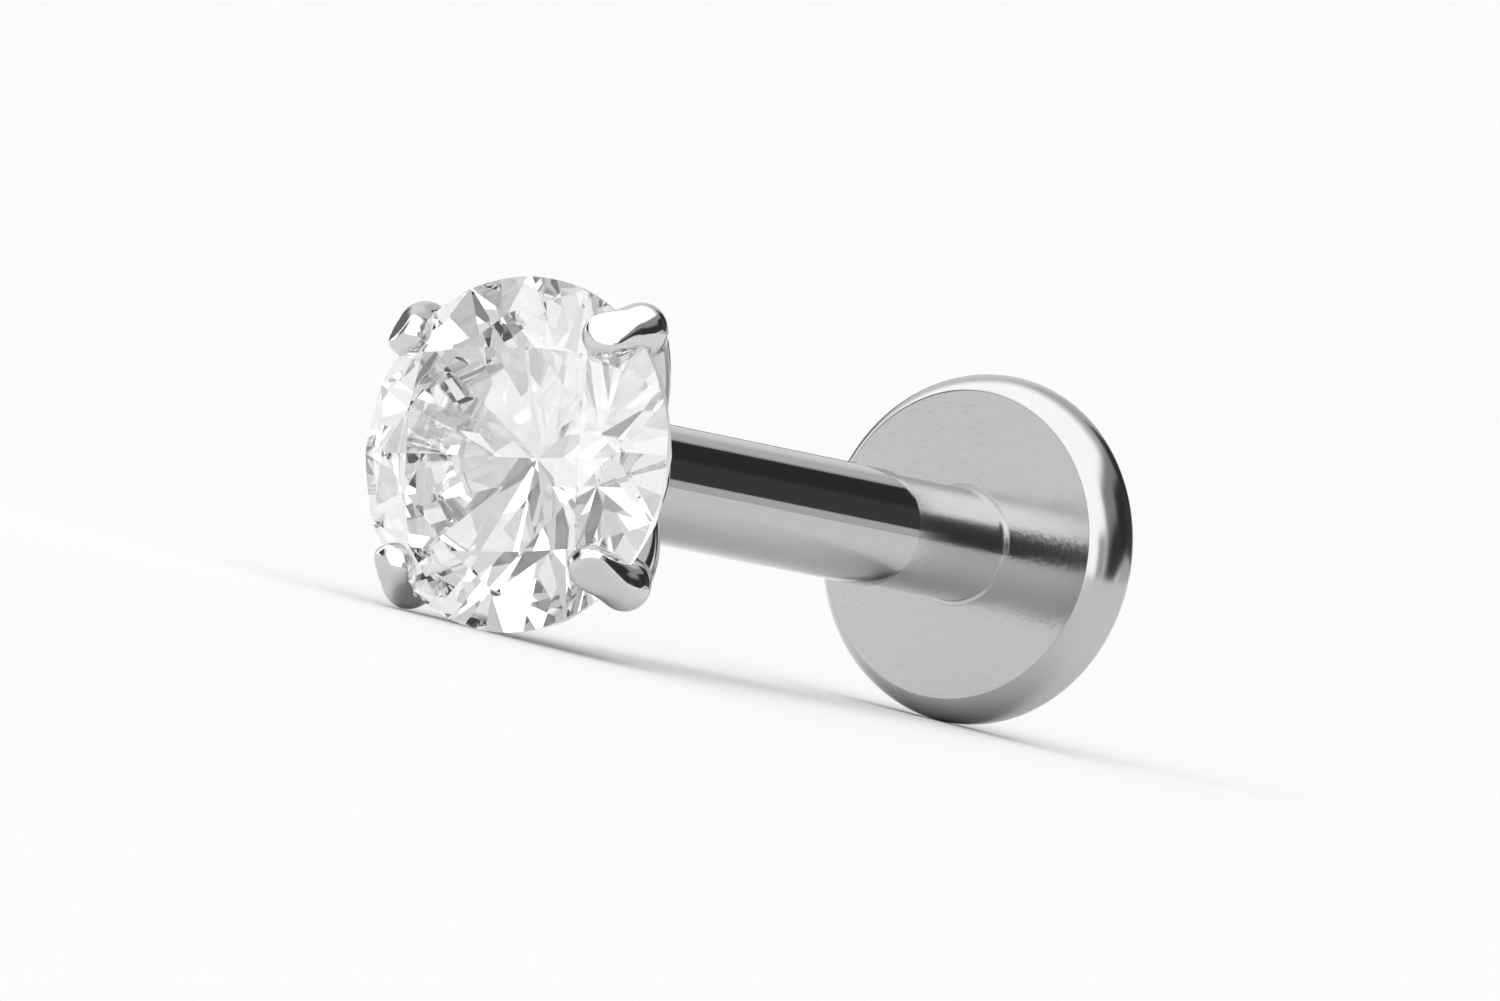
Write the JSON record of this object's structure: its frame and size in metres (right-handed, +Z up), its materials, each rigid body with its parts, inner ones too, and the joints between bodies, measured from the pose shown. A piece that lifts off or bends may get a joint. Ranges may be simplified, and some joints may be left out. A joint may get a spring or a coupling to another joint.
{
  "type": "labret stud",
  "caption": "Labret stud lying on its side: a round brilliant-cut stone in a claw setting on a straight round post, with a flat round back disc.",
  "frame": {"origin": "centre of the bounding box's bottom face, on the surface that the stud lies on", "axes": "+X along the stud's axis from the stone towards the back disc; +Z up from the surface"},
  "size_m": [0.0094, 0.0036, 0.0036],
  "materials": {
    "clear_stone": "colourless cut stone with polished facets",
    "polished_steel": "mirror-polished surgical steel",
    "satin_steel": "satin surgical steel, with a polished rim"
  },
  "bodies": {
    "root": {"stone": "clear_stone", "prong_setting": "polished_steel", "post_barrel": "polished_steel", "back_disc": "satin_steel"}
  },
  "joints": []
}
